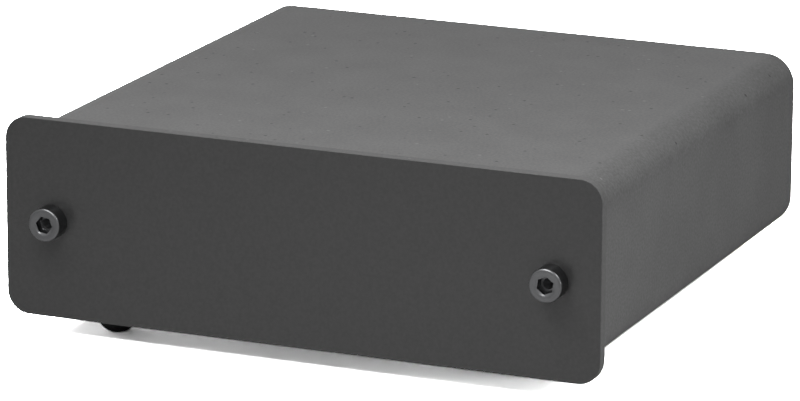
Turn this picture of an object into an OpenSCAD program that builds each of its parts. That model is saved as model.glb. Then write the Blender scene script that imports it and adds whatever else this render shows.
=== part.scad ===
// Compact phono preamplifier: a rounded metal sleeve closed by a flat front plate and a rear plate.
// X is the width, Y runs from the front plate to the sockets, and Z is up. The feet stand on Z = 0,
// and the origin is under the middle of the whole object.

/* [Case] */
// Width of the sleeve
case_w = 99; // [97:0.5:112]
// Height of the sleeve
case_h = 30; // [29.5:0.5:36]
// Length of the sleeve, from the front panel to the rear panel
case_l = 95; // [92:1:130]
// Thickness of the sleeve's wall
wall = 1.5; // [1.2:0.1:1.8]
// Outer radius of the sleeve's long edges
case_r = 5.2; // [4:0.1:7]
// Distance from the sleeve's side to the middle of a screw channel
channel_inset = 6.25; // [6:0.05:6.6]
// Outer radius of a screw channel
channel_r = 2.9; // [2.5:0.1:3.1]

/* [Front panel] */
// Thickness of the front panel
panel_t = 2; // [1.5:0.1:4]
// How far the front panel stands out past each side of the sleeve
panel_lip_side = 2; // [1:0.25:4]
// How far the front panel stands out above and below the sleeve
panel_lip_top = 1.5; // [1:0.25:3]
// Corner radius of the front panel
panel_r = 3.8; // [2:0.1:6]

/* [Rear panel] */
// Thickness of the rear panel
rear_t = 1.5; // [1:0.1:2.5]
// How far the rear panel's edge stays inside the sleeve's outline
rear_inset = 0.7; // [0.3:0.1:1]

/* [Feet] */
// Height of a foot under the sleeve
foot_h = 6.5; // [4:0.5:10]
// Radius of a foot where it meets the sleeve
foot_r = 4.6; // [4:0.1:6]
// Radius of the round underside of a foot
foot_dome_r = 3.5; // [3:0.1:3.9]
// Radius of the flat spot that a foot stands on
foot_flat_r = 1.5; // [0.8:0.1:2]
// Distance of the feet from the sleeve's sides
foot_inset_x = 11.5; // [9:0.5:20]
// Distance of the feet from the sleeve's ends
foot_inset_y = 11; // [8:0.5:20]
// How much further in the two right-hand feet are, which the photograph doesn't show
foot_right_shift = 3; // [0:0.5:6]
// How much further back the front right foot is than the left one
foot_right_setback = 5; // [0:0.5:8]

/* [Panel screws] */
// Radius of the screw thread, M3
screw_r = 1.5; // [1.25:0.05:1.75]
// Length of a screw under its head
screw_l = 10; // [8:1:16]
// Radius of a screw head
head_r = 2.75; // [2.5:0.05:2.9]
// Height of a screw head
head_h = 3; // [2.5:0.1:4]
// Width across the flats of the hexagon socket
hex_af = 2.5; // [2:0.1:3]
// How far the screws lie below the middle of the panels
screw_drop = 0.35; // [0:0.05:1]

/* [Circuit board] */
// Thickness of the circuit board
pcb_t = 1.6; // [1.2:0.1:2]
// Distance from the front panel to the circuit board
board_setback = 6.7; // [3.5:0.1:12]
// Height of the board's underside over the floor of the sleeve
pcb_lift = 3; // [2.6:0.1:3.4]

/* [Signal sockets] */
// Outer radius of a socket barrel
barrel_r = 4.15; // [4:0.05:4.3]
// Wall thickness of a socket barrel
barrel_wall = 0.8; // [0.5:0.05:1]
// Length of a socket barrel behind the rear panel
barrel_out = 9; // [8:0.5:10]
// Radius of the bore for the plug's centre pin
contact_r = 1.65; // [1.6:0.01:1.7]
// Depth of the bore for the plug's centre pin
contact_depth = 15.5; // [14:0.5:16]
// Height of a socket's centre over the board
socket_lift = 6.7; // [6:0.1:7.4]
// Depth of a socket block
block_d = 12; // [11:0.5:14]
// Height of a socket block
block_h = 13; // [12.5:0.5:16]

/* [Power inlet] */
// Width of the inlet's housing
inlet_w = 9; // [8.5:0.1:9.4]
// Height of the inlet's housing
inlet_h = 11; // [10.5:0.1:12]
// Length of the inlet's housing
inlet_l = 13; // [12.5:0.5:15]
// Radius of the inlet's mouth
inlet_bore_r = 3.2; // [3:0.05:3.3]
// Depth of the inlet's mouth
inlet_depth = 9.8; // [9:0.1:10.5]
// Radius of the inlet's centre pin
inlet_pin_r = 1; // [0.8:0.05:1.25]
// Radius of the hole in the rear panel in front of the inlet
inlet_hole_r = 4; // [3.7:0.1:4.3]

/* [Ground terminal] */
// Radius of the post's thread, M4
post_r = 2; // [1.75:0.05:2.25]
// Radius of the thumb nut
nut_r = 4.75; // [4.2:0.05:5]
// Length of the thumb nut
nut_l = 6.5; // [5.5:0.1:6.5]
// How far the thumb nut backs off the rear panel before its face is level with the post's tip
nut_travel = 3; // [2:0.25:5]

/* [Selector] */
// Width of the switch housing
switch_w = 8.4; // [8:0.1:9]
// Length of the switch housing
switch_l = 14; // [14:0.5:17]
// Height of the switch housing
switch_h = 7.8; // [7.6:0.1:9]
// Distance from the switch housing to the rear panel
switch_back = 6; // [5.5:0.25:7]
// Radius of the button
button_r = 2.8; // [2.5:0.1:3]
// How far the button stands out of the rear panel
button_out = 4.5; // [3.5:0.25:6]
// How far the button can be pushed in
button_travel = 2.5; // [1.5:0.25:3]

/* [Electronics] */
// Radius of a supply capacitor
supply_cap_r = 5; // [4:0.25:5.5]
// Height of a supply capacitor
supply_cap_h = 16; // [12:0.5:18]
// Radius of a coupling capacitor
coupling_cap_r = 3.15; // [2.5:0.05:3.5]
// Height of a coupling capacitor
coupling_cap_h = 11; // [9:0.25:11.5]
// Length of a film capacitor
film_cap_l = 7.2; // [6.8:0.1:7.6]
// Width of a film capacitor
film_cap_w = 3.5; // [2.5:0.1:5]
// Height of a film capacitor
film_cap_h = 7.5; // [6:0.1:9]
// Length of an op-amp's body
amp_l = 5; // [4.6:0.1:5.4]
// Width of an op-amp's body
amp_w = 4; // [3.8:0.1:4.2]
// Height of an op-amp's body
amp_h = 1.5; // [1.2:0.1:1.8]

/* [Hidden] */
$fn = 64;

// How far a cut runs past the face that it opens
overrun = 1;
// Chamfer on turned pieces
edge_break = 0.3;
// Clearances: round pieces that turn or slide, seated pieces, screws in plates, the board and the plunger
// in their slides, neighbours in the rear row, the board's edges, and leads in the board
running_gap = 0.05;
seat_gap = 0.05;
hole_gap = 0.1;
slide_gap = 0.1;
part_gap = 0.35;
board_gap = 0.3;
lead_gap = 0.1;

// Solder tag and inner nut of the ground post, which need room under the sleeve's ceiling
tag_t = 0.5;
inner_nut_af = 7;
tag_rise = inner_nut_af / 2 + seat_gap + tag_t;

// Levels, from the feet up. The ground post is between the selector and the ceiling.
floor_z = foot_h + wall;
ceiling_z = foot_h + case_h - wall;
mid_z = foot_h + case_h / 2;
screw_z = mid_z - screw_drop;
pcb_z = floor_z + pcb_lift;
board_z = pcb_z + pcb_t;
socket_z = board_z + socket_lift;
selector_z = board_z + switch_h / 2;
ground_low_z = selector_z + button_r + nut_r;
ground_high_z = ceiling_z - tag_rise;
ground_height_share = 0.6087;
ground_z = ground_low_z + ground_height_share * (ground_high_z - ground_low_z);

// Ground post: its flange, washer, thumb nut and travel add up to what stands out of the rear panel
flange_t = 1.5;
washer_t = 1;
post_out = flange_t + washer_t + nut_l + nut_travel;

// Planes along the object, from the front screws' faces to the tip of the ground post
overall_l = head_h + panel_t + case_l + rear_t + post_out;
front_y = -overall_l / 2;
panel_y = front_y + head_h;
sleeve_y = panel_y + panel_t;
rear_y = sleeve_y + case_l;
out_y = rear_y + rear_t;
tip_y = out_y + post_out;

// Columns across the rear panel, from the power inlet on the left to the input sockets on the right.
// The row fills the width between the screw channels, and the socket blocks take their share of what the
// inlet and the thumb nut leave free.
screw_x = case_w / 2 - channel_inset;
row_end_x = screw_x - channel_r - part_gap;
row_free_w = 2 * row_end_x - inlet_w - 2 * nut_r;
block_width_share = 0.42276;
inlet_to_block_share = 0.02439;
block_to_nut_share = 0.03659;
pitch_share = 0.53846;
block_w = row_free_w * block_width_share;
socket_pitch = block_w * pitch_share;
inlet_x = inlet_w / 2 - row_end_x;
output_x = inlet_x + inlet_w / 2 + row_free_w * inlet_to_block_share + block_w / 2;
selector_x = output_x + block_w / 2 + row_free_w * block_to_nut_share + nut_r;
input_x = selector_x + nut_r + row_free_w * block_to_nut_share + block_w / 2;
input_left_x = input_x + socket_pitch / 2;
input_right_x = input_x - socket_pitch / 2;
output_left_x = output_x + socket_pitch / 2;
output_right_x = output_x - socket_pitch / 2;
socket_xs = [input_left_x, input_right_x, output_left_x, output_right_x];

// Front and rear panels
panel_w = case_w + 2 * panel_lip_side;
panel_h = case_h + 2 * panel_lip_top;
rear_w = case_w - 2 * rear_inset;
rear_h = case_h - 2 * rear_inset;
rear_r = case_r - rear_inset;
button_hole_gap = 0.4;

// Sleeve: screw channels, their slots, and the ribs that the board slides between
channel_web = 2.2;
channel_slot = 1.2;
rib_reach = 1.8;
rib_t = 1.2;
inner_w = case_w - 2 * wall;
inner_h = case_h - 2 * wall;
inner_r = case_r - wall;

// Feet and their plugs through the sleeve's floor
foot_left_x = foot_inset_x - case_w / 2;
foot_right_x = case_w / 2 - foot_inset_x - foot_right_shift;
foot_front_y = sleeve_y + foot_inset_y;
foot_rear_y = rear_y - foot_inset_y;
foot_places = [
    [foot_left_x, foot_front_y], [foot_right_x, foot_front_y + foot_right_setback],
    [foot_left_x, foot_rear_y], [foot_right_x, foot_rear_y]
];
foot_dome_z = sqrt(pow(foot_dome_r, 2) - pow(foot_flat_r, 2));
plug_r = 1.55;
plug_head_r = 2.2;
plug_head_h = 1.2;

// Screw heads
hex_depth = 1.6;

// Circuit board
pcb_w = inner_w - 2 * board_gap;
pcb_rear_y = rear_y - board_gap;
pcb_front_y = sleeve_y + board_setback;
pcb_l = pcb_rear_y - pcb_front_y;
lead_under = pcb_lift - plug_head_h - board_gap;

// Signal sockets: how far each piece reaches into its block
barrel_in = 4;
barrel_step = 0.25;
insulator_back = 1;
contact_wall = 0.45;
contact_back = 1.2;
insulator_set_back = 0.6;
contact_set_back = 0.8;
tail_r = 0.5;
tab_w = 1.6;
tab_t = 0.5;
collar_wall = 0.4;
barrel_y = rear_y - barrel_in;
barrel_end_y = out_y + barrel_out;
barrel_bore_r = barrel_r - barrel_wall;
barrel_root_r = barrel_r - barrel_step;
contact_outer_r = contact_r + contact_wall;
contact_end_y = barrel_end_y - contact_set_back;
contact_floor_y = contact_end_y - contact_depth;
contact_back_y = contact_floor_y - contact_back;
insulator_back_y = contact_back_y - seat_gap - insulator_back;
block_y = rear_y - block_d;
collar_r = barrel_root_r + seat_gap + collar_wall;

// Screws that hold the socket blocks
block_screw_r = 1.25;
block_screw_l = 8;
block_head_r = 2.3;
block_head_h = 1.8;
block_screw_wall = 0.8;
block_screw_z = board_z + block_h - block_screw_wall - seat_gap - block_screw_r;
block_cross_w = 0.7;
block_cross_l = 2.8;
block_cross_depth = 1;

// Power inlet
inlet_y = rear_y - inlet_l;
inlet_z = board_z + inlet_h / 2;
inlet_pin_short = 0.5;
inlet_blade_w = 2;
inlet_blade_t = 0.6;
inlet_spring_t = 0.3;
inlet_spring_w = 2.4;
inlet_slot_h = 1.1;
inlet_spring_dip = 0.45;
inlet_pin_y = rear_y - inlet_depth;

// Ground terminal
flange_r = 3.8;
washer_r = 4;
neck_r = 2.9;
neck_lip_r = 3.2;
neck_lip_t = 0.3;
tag_r = 3.7;
tag_w = 2.5;
tag_l = 6.5;
lock_washer_r = 3.6;
lock_washer_t = 0.6;
inner_nut_l = 3.2;
thread_past_nut = 3.7;
post_in = lock_washer_t + tag_t + inner_nut_l + thread_past_nut;
knurl_count = 30;
knurl_r = 0.3;
nut_edge = 0.5;
washer_y = out_y + flange_t;
nut_y = washer_y + washer_t;
lock_washer_y = rear_y - lock_washer_t;
tag_y = lock_washer_y - tag_t;
inner_nut_y = tag_y - inner_nut_l;

// Wire from the solder tag to the board
wire_r = 0.6;
wire_bend = 2.5;
wire_pad_gap = 3;
wire_z = ground_z + tag_rise - tag_t - seat_gap - wire_r;
wire_down_y = rear_y - switch_back - switch_l - wire_pad_gap;

// Selector
switch_wall = 1.2;
switch_y = rear_y - switch_back - switch_l;
stem_w = 3;
stem_in_button = 3.5;
slider_l = 4.5;
peg_r = 0.9;
peg_l = 1.5;
spring_wire_r = 0.175;
spring_coil_r = 1.3;
spring_turns = 7;
terminal_r = 0.4;
terminal_pitch = 2.5;
terminal_rows = 4.2;
switch_front_y = switch_y + switch_l;
slider_y = switch_front_y - switch_wall - running_gap - slider_l;
button_end_y = out_y + button_out;
button_y = switch_front_y + button_travel + part_gap;
stem_end_y = button_y + stem_in_button;
spring_y = switch_y + switch_wall + seat_gap;
spring_l = slider_y - seat_gap - spring_y;
ring_sides = 6;
rings_per_turn = 8;
spring_rings = spring_turns * rings_per_turn;
spring_rise = spring_l - 2 * spring_wire_r;

// Electronics: each place is a share of the board's width, and of its free length in front of the switch.
// The power supply's pieces stand in a column of their own beside the left screw channel.
bench_l = switch_y - part_gap - pcb_front_y;
power_x = supply_cap_r - row_end_x;
regulator_share = 0.82;
supply_cap_shares = [0.56, 0.34];
diode_share = 0.14;
coupling_cap_shares = [[0.5, 0.1], [0.7, 0.1], [0.43, 0.64], [0.77, 0.64], [0.43, 0.84], [0.77, 0.84]];
film_cap_shares = [for (x = [0.33, 0.85]) for (y = [0.14, 0.34, 0.54, 0.74]) [x, y]];
amp_shares = [[0.5, 0.36], [0.7, 0.36], [0.6, 0.66]];
resistor_shares = [
    for (x = [0.42, 0.575, 0.625, 0.78]) for (y = [0.22, 0.27, 0.32, 0.37, 0.42, 0.47]) [x, y]
];
chip_cap_shares = [for (x = [0.26, 0.94]) for (y = [0.14, 0.34, 0.54, 0.74]) [x, y]];
cap_lead_r = 0.3;
supply_cap_pitch = 5;
coupling_cap_pitch = 2.5;
film_cap_pitch = 5;
cap_groove_r = 0.35;
cap_groove_z = 2;
film_cap_stand = 0.3;
regulator_w = 10;
regulator_t = 4.5;
regulator_body_h = 9.2;
regulator_tab_h = 6.3;
regulator_tab_t = 1.3;
regulator_hole_r = 1.85;
regulator_stand = 1.5;
regulator_leg = 0.7;
regulator_pitch = 2.54;
amp_stand = 0.15;
amp_lead_w = 0.4;
amp_lead_t = 0.2;
amp_lead_reach = 1;
amp_pitch = 1.2;
amp_leads = 4;
chip_l = 3.2;
chip_w = 1.6;
chip_h = 0.55;
chip_cap_l = 2;
chip_cap_w = 1.25;
chip_cap_h = 0.9;
diode_l = 4.3;
diode_w = 2.6;
diode_h = 2.2;
diode_tab = 0.4;
round_lead_hole_r = cap_lead_r + lead_gap;

function spot(share) = [(share[0] - 0.5) * pcb_w, pcb_front_y + share[1] * bench_l];
function power_spot(share) = [power_x, pcb_front_y + share * bench_l];

// Turns a profile drawn in X and Z into a solid that runs along Y
module along_y(y, l) {
    translate([0, y + l, 0])
        rotate([90, 0, 0])
            linear_extrude(height = l)
                children();
}

// Turns a profile drawn in Y and Z into a solid of width w, centred on X
module along_x(x, w) {
    translate([x - w / 2, 0, 0])
        rotate([90, 0, 90])
            linear_extrude(height = w)
                children();
}

module rod_y(x, z, y, l, r) {
    translate([x, y, z])
        rotate([-90, 0, 0])
            cylinder(h = l, r = r);
}

module rod_z(x, y, z, h, r) {
    translate([x, y, z])
        cylinder(h = h, r = r);
}

module block(x, y, z, w, l, h) {
    translate([x - w / 2, y, z])
        cube([w, l, h]);
}

module rounded_outline(w, h, r) {
    square([w - 2 * r, h], center = true);
    square([w, h - 2 * r], center = true);
    for (side = [-1, 1])
        for (end = [-1, 1])
            translate([side * (w / 2 - r), end * (h / 2 - r)])
                circle(r = r);
}

// Case
module channel_outline() {
    circle(r = channel_r);
    translate([0, -channel_web / 2])
        square([channel_inset - wall / 2, channel_web]);
}

module rib_pair_outline() {
    for (z = [pcb_z - slide_gap - rib_t, board_z + slide_gap])
        translate([inner_w / 2 - rib_reach, z])
            square([rib_reach + wall / 2, rib_t]);
}

module sleeve_outline() {
    difference() {
        translate([0, mid_z])
            rounded_outline(case_w, case_h, case_r);
        translate([0, mid_z])
            rounded_outline(inner_w, inner_h, inner_r);
    }
    for (side = [0, 1])
        mirror([side, 0]) {
            translate([screw_x, screw_z])
                channel_outline();
            rib_pair_outline();
        }
}

module case_sleeve() {
    color("#4a4b4d")
        difference() {
            along_y(sleeve_y, case_l)
                sleeve_outline();
            for (side = [-1, 1]) {
                rod_y(side * screw_x, screw_z, sleeve_y - overrun, case_l + 2 * overrun, screw_r + seat_gap);
                block(side * (screw_x - channel_r), sleeve_y - overrun, screw_z - channel_slot / 2,
                    2 * channel_r, case_l + 2 * overrun, channel_slot);
            }
            for (p = foot_places)
                rod_z(p[0], p[1], foot_h - overrun, wall + 2 * overrun, plug_r + seat_gap);
        }
}

module front_panel() {
    color("#3f4042")
        difference() {
            along_y(panel_y, panel_t)
                translate([0, mid_z])
                    rounded_outline(panel_w, panel_h, panel_r);
            for (side = [-1, 1])
                rod_y(side * screw_x, screw_z, panel_y - overrun, panel_t + 2 * overrun, screw_r + hole_gap);
        }
}

module rear_panel() {
    color("#3f4042")
        difference() {
            along_y(rear_y, rear_t)
                translate([0, mid_z])
                    rounded_outline(rear_w, rear_h, rear_r);
            for (side = [-1, 1])
                rear_hole(side * screw_x, screw_z, screw_r + hole_gap);
            for (x = socket_xs)
                rear_hole(x, socket_z, collar_r + hole_gap);
            for (x = [input_x, output_x])
                rear_hole(x, block_screw_z, block_screw_r + hole_gap);
            rear_hole(inlet_x, inlet_z, inlet_hole_r);
            rear_hole(selector_x, ground_z, post_r + hole_gap);
            rear_hole(selector_x, selector_z, button_r + button_hole_gap);
        }
}

module rear_hole(x, z, r) {
    rod_y(x, z, rear_y - overrun, rear_t + 2 * overrun, r);
}

// Socket-head cap screw with the underside of its head at the origin and its thread down -Z
module cap_screw() {
    difference() {
        union() {
            cylinder(h = head_h - edge_break, r = head_r);
            translate([0, 0, head_h - edge_break])
                cylinder(h = edge_break, r1 = head_r, r2 = head_r - edge_break);
            translate([0, 0, -screw_l])
                cylinder(h = screw_l + edge_break, r = screw_r);
        }
        translate([0, 0, head_h - hex_depth])
            cylinder(h = hex_depth + overrun, r = hex_af / 2 / cos(30), $fn = 6);
    }
}

module front_screws() {
    color("#1c1c1d")
        for (side = [-1, 1])
            translate([side * screw_x, panel_y, screw_z])
                rotate([90, 0, 0])
                    cap_screw();
}

module rear_screws() {
    color("#1c1c1d")
        for (side = [-1, 1])
            translate([side * screw_x, out_y, screw_z])
                rotate([-90, 0, 0])
                    cap_screw();
}

// Foot with its plug through the sleeve's floor and a head inside it
module foot(at) {
    color("#161616")
        translate([at[0], at[1], 0]) {
            rotate_extrude()
                intersection() {
                    translate([0, foot_dome_z])
                        circle(r = foot_dome_r);
                    square([foot_dome_r, foot_dome_z + edge_break]);
                }
            translate([0, 0, foot_dome_z])
                cylinder(h = foot_h - foot_dome_z, r1 = foot_dome_r, r2 = foot_r);
            translate([0, 0, foot_dome_z])
                cylinder(h = floor_z + seat_gap + plug_head_h - foot_dome_z, r = plug_r);
            translate([0, 0, floor_z + seat_gap])
                cylinder(h = plug_head_h, r = plug_head_r);
        }
}

module foot_front_left() { foot(foot_places[0]); }
module foot_front_right() { foot(foot_places[1]); }
module foot_rear_left() { foot(foot_places[2]); }
module foot_rear_right() { foot(foot_places[3]); }

// Circuit board, with a hole for every lead that passes through it
module lead_hole(x, y, r) {
    rod_z(x, y, pcb_z - overrun, pcb_t + 2 * overrun, r);
}

module lead_slot(x, y, w, l) {
    block(x, y - lead_gap, pcb_z - overrun, w + 2 * lead_gap, l + 2 * lead_gap, pcb_t + 2 * overrun);
}

module main_pcb() {
    color("#1d5a36")
        difference() {
            block(0, pcb_front_y, pcb_z, pcb_w, pcb_l, pcb_t);
            for (share = supply_cap_shares)
                pair_of_leads(power_spot(share), supply_cap_pitch);
            for (share = coupling_cap_shares)
                pair_of_leads(spot(share), coupling_cap_pitch);
            for (share = film_cap_shares)
                pair_of_leads(spot(share), film_cap_pitch);
            for (leg = [-1, 0, 1])
                lead_slot(power_x + leg * regulator_pitch, power_spot(regulator_share)[1] - regulator_leg / 2,
                    regulator_leg, regulator_leg);
            for (x = socket_xs) {
                lead_hole(x, block_y - tail_r - lead_gap, tail_r + lead_gap);
                lead_slot(x, barrel_y, tab_w, tab_t);
            }
            lead_slot(inlet_x, inlet_y - inlet_blade_t - lead_gap, inlet_blade_w, inlet_blade_t);
            lead_slot(inlet_x, inlet_y + inlet_spring_t, inlet_spring_w, inlet_spring_t);
            for (p = terminal_places())
                lead_hole(p[0], p[1], terminal_r + lead_gap);
            lead_hole(selector_x, wire_down_y, wire_r + lead_gap);
        }
}

module pair_of_leads(at, pitch) {
    for (side = [-1, 1])
        lead_hole(at[0] + side * pitch / 2, at[1], round_lead_hole_r);
}

// Signal sockets
module socket_block(x) {
    color("#141415")
        difference() {
            union() {
                block(x, block_y, board_z, block_w, block_d, block_h);
                for (side = [-1, 1])
                    rod_y(x + side * socket_pitch / 2, socket_z, rear_y - overrun, rear_t + overrun,
                        collar_r);
            }
            for (side = [-1, 1])
                socket_cavity(x + side * socket_pitch / 2);
            rod_y(x, block_screw_z, rear_y - block_screw_l, block_screw_l + overrun,
                block_screw_r + seat_gap);
        }
}

module socket_cavity(x) {
    rod_y(x, socket_z, barrel_y - seat_gap, barrel_in + rear_t + overrun, barrel_root_r + seat_gap);
    rod_y(x, socket_z, insulator_back_y - seat_gap, block_d, barrel_bore_r);
    rod_y(x, socket_z, block_y - overrun, block_d, tail_r + seat_gap);
    block(x, barrel_y - seat_gap, board_z - overrun, tab_w + 2 * seat_gap, tab_t + 2 * seat_gap,
        socket_lift + overrun);
}

module input_socket_block() { socket_block(input_x); }
module output_socket_block() { socket_block(output_x); }

module block_screws() {
    color("#b9bbbe")
        for (x = [input_x, output_x])
            difference() {
                union() {
                    rod_y(x, block_screw_z, out_y - block_screw_l, block_screw_l + block_head_h / 2,
                        block_screw_r);
                    rod_y(x, block_screw_z, out_y, block_head_h, block_head_r);
                }
                for (turn = [0, 90])
                    translate([x, out_y + block_head_h - block_cross_depth, block_screw_z])
                        rotate([0, turn, 0])
                            translate([-block_cross_l / 2, 0, -block_cross_w / 2])
                                cube([block_cross_l, block_cross_depth + overrun, block_cross_w]);
            }
}

module barrel(x) {
    color("#d2a84a")
        difference() {
            union() {
                rod_y(x, socket_z, barrel_y, barrel_in + rear_t + edge_break, barrel_root_r);
                rod_y(x, socket_z, out_y, barrel_out, barrel_r);
                block(x, barrel_y, pcb_z - lead_under, tab_w, tab_t, socket_z - pcb_z + lead_under);
            }
            rod_y(x, socket_z, barrel_y - overrun, barrel_end_y - barrel_y + 2 * overrun, barrel_bore_r);
        }
}

module input_left_barrel() { barrel(input_left_x); }
module input_right_barrel() { barrel(input_right_x); }
module output_left_barrel() { barrel(output_left_x); }
module output_right_barrel() { barrel(output_right_x); }

module insulator(x, tint) {
    length = barrel_end_y - insulator_set_back - insulator_back_y;
    color(tint)
        difference() {
            rod_y(x, socket_z, insulator_back_y, length, barrel_bore_r - seat_gap);
            rod_y(x, socket_z, insulator_back_y + insulator_back, length, contact_outer_r + seat_gap);
            rod_y(x, socket_z, insulator_back_y - overrun, length, tail_r + seat_gap);
        }
}

module input_left_insulator() { insulator(input_left_x, "#e9e6df"); }
module input_right_insulator() { insulator(input_right_x, "#b3201d"); }
module output_left_insulator() { insulator(output_left_x, "#e9e6df"); }
module output_right_insulator() { insulator(output_right_x, "#b3201d"); }

module contact(x) {
    tail_y = block_y - tail_r - lead_gap;
    tail_z = pcb_z - lead_under;
    color("#d2a84a")
        difference() {
            union() {
                rod_y(x, socket_z, contact_back_y, contact_end_y - contact_back_y, contact_outer_r);
                rod_y(x, socket_z, tail_y - tail_r, contact_back_y + contact_back / 2 - tail_y + tail_r,
                    tail_r);
                rod_z(x, tail_y, tail_z, socket_z + tail_r - tail_z, tail_r);
            }
            rod_y(x, socket_z, contact_floor_y, contact_depth + overrun, contact_r);
        }
}

module input_left_contact() { contact(input_left_x); }
module input_right_contact() { contact(input_right_x); }
module output_left_contact() { contact(output_left_x); }
module output_right_contact() { contact(output_right_x); }

// Power inlet
module power_inlet_housing() {
    slot_w = inlet_spring_w + 2 * seat_gap;
    color("#141415")
        difference() {
            block(inlet_x, inlet_y, board_z, inlet_w, inlet_l, inlet_h);
            rod_y(inlet_x, inlet_z, inlet_pin_y, inlet_depth + overrun, inlet_bore_r);
            rod_y(inlet_x, inlet_z, inlet_y - overrun, inlet_l, inlet_pin_r + seat_gap);
            block(inlet_x, inlet_y + inlet_spring_t - seat_gap, board_z - overrun, slot_w,
                inlet_spring_t + 2 * seat_gap, inlet_slot_h + overrun);
            block(inlet_x, inlet_y + inlet_spring_t - seat_gap, board_z + seat_gap, slot_w,
                inlet_l - 2 * inlet_spring_t, inlet_slot_h);
            block(inlet_x, inlet_pin_y, board_z + seat_gap, slot_w, inlet_depth - inlet_slot_h,
                inlet_h / 2 - inlet_bore_r / 2);
        }
}

module power_inlet_pin() {
    blade_y = inlet_y - inlet_blade_t - seat_gap;
    blade_z = pcb_z - lead_under;
    color("#c9cacc")
        union() {
            rod_y(inlet_x, inlet_z, blade_y, rear_y - inlet_pin_short - blade_y, inlet_pin_r);
            block(inlet_x, blade_y, blade_z, inlet_blade_w, inlet_blade_t, inlet_z + inlet_pin_r - blade_z);
        }
}

// Leaf that presses on the plug's outer sleeve: a strip along the slot, with a tail down through the board
module power_inlet_spring() {
    t = inlet_spring_t;
    back = inlet_y + t;
    front = rear_y - inlet_slot_h - 2 * t;
    low = board_z + 2 * seat_gap;
    high = inlet_z - inlet_bore_r + inlet_spring_dip;
    bend = inlet_pin_y + inlet_depth / 2;
    color("#c9cacc")
        along_x(inlet_x, inlet_spring_w)
            polygon([
                [back, pcb_z - lead_under], [back + t, pcb_z - lead_under], [back + t, low],
                [inlet_pin_y + t, low], [bend, high - t], [front, low],
                [front, low + t], [bend, high], [inlet_pin_y, low + t], [back, low + t]
            ]);
}

// Ground terminal
module ground_post() {
    color("#c8a24c")
        union() {
            rod_y(selector_x, ground_z, rear_y - post_in, post_in + rear_t + post_out - edge_break, post_r);
            rod_y(selector_x, ground_z, out_y, flange_t, flange_r);
            translate([selector_x, tip_y - edge_break, ground_z])
                rotate([-90, 0, 0])
                    cylinder(h = edge_break, r1 = post_r, r2 = post_r - edge_break);
        }
}

module ground_washer() {
    color("#c8a24c")
        difference() {
            rod_y(selector_x, ground_z, washer_y, washer_t, washer_r);
            rod_y(selector_x, ground_z, washer_y - overrun, washer_t + 2 * overrun, neck_r + running_gap);
            rod_y(selector_x, ground_z, washer_y - overrun, overrun + neck_lip_t + 2 * running_gap,
                neck_lip_r + running_gap);
        }
}

// Thumb nut, with a neck and lip that carry the washer
module ground_thumb_nut() {
    color("#c8a24c")
        difference() {
            union() {
                rod_y(selector_x, ground_z, nut_y, nut_l - nut_edge, nut_r);
                translate([selector_x, nut_y + nut_l - nut_edge, ground_z])
                    rotate([-90, 0, 0])
                        cylinder(h = nut_edge, r1 = nut_r, r2 = nut_r - nut_edge);
                rod_y(selector_x, ground_z, washer_y + running_gap, washer_t + nut_edge, neck_r);
                rod_y(selector_x, ground_z, washer_y + running_gap, neck_lip_t, neck_lip_r);
            }
            rod_y(selector_x, ground_z, washer_y - overrun, nut_l + washer_t + 2 * overrun,
                post_r + running_gap);
            for (i = [1 : knurl_count])
                let (turn = 360 * i / knurl_count)
                    rod_y(selector_x + nut_r * cos(turn), ground_z + nut_r * sin(turn), nut_y + nut_edge,
                        nut_l + overrun, knurl_r);
        }
}

module ring(y, t, r, inner) {
    difference() {
        rod_y(selector_x, ground_z, y, t, r);
        rod_y(selector_x, ground_z, y - overrun, t + 2 * overrun, inner);
    }
}

module ground_lock_washer() {
    color("#b9bbbe")
        ring(lock_washer_y, lock_washer_t, lock_washer_r, post_r + seat_gap);
}

module ground_solder_tag() {
    color("#b9bbbe")
        difference() {
            union() {
                rod_y(selector_x, ground_z, tag_y, tag_t, tag_r);
                block(selector_x, tag_y - tag_l, ground_z + tag_rise - tag_t, tag_w, tag_l + tag_t, tag_t);
                block(selector_x, tag_y, ground_z, tag_w, tag_t, tag_rise);
            }
            rod_y(selector_x, ground_z, tag_y - overrun, tag_t + 2 * overrun, post_r + seat_gap);
        }
}

module ground_inner_nut() {
    color("#b9bbbe")
        difference() {
            translate([selector_x, inner_nut_y, ground_z])
                rotate([-90, 0, 0])
                    cylinder(h = inner_nut_l, r = inner_nut_af / 2 / cos(30), $fn = 6);
            rod_y(selector_x, ground_z, inner_nut_y - overrun, inner_nut_l + 2 * overrun, post_r + seat_gap);
        }
}

module ground_wire() {
    top_y = inner_nut_y - part_gap;
    color("#2f7a3a")
        union() {
            rod_y(selector_x, wire_z, wire_down_y + wire_bend, top_y - wire_down_y - wire_bend, wire_r);
            translate([selector_x, wire_down_y + wire_bend, wire_z - wire_bend])
                rotate([0, -90, 0])
                    rotate([0, 0, 270])
                        rotate_extrude(angle = 90)
                            translate([wire_bend, 0])
                                circle(r = wire_r);
            rod_z(selector_x, wire_down_y, pcb_z - lead_under, wire_z - wire_bend - pcb_z + lead_under,
                wire_r);
        }
}

// Selector
function terminal_places() = [
    for (side = [-1, 1])
        for (row = [-1, 0, 1])
            [selector_x + side * terminal_rows / 2, switch_y + switch_l / 2 + row * terminal_pitch]
];

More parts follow.
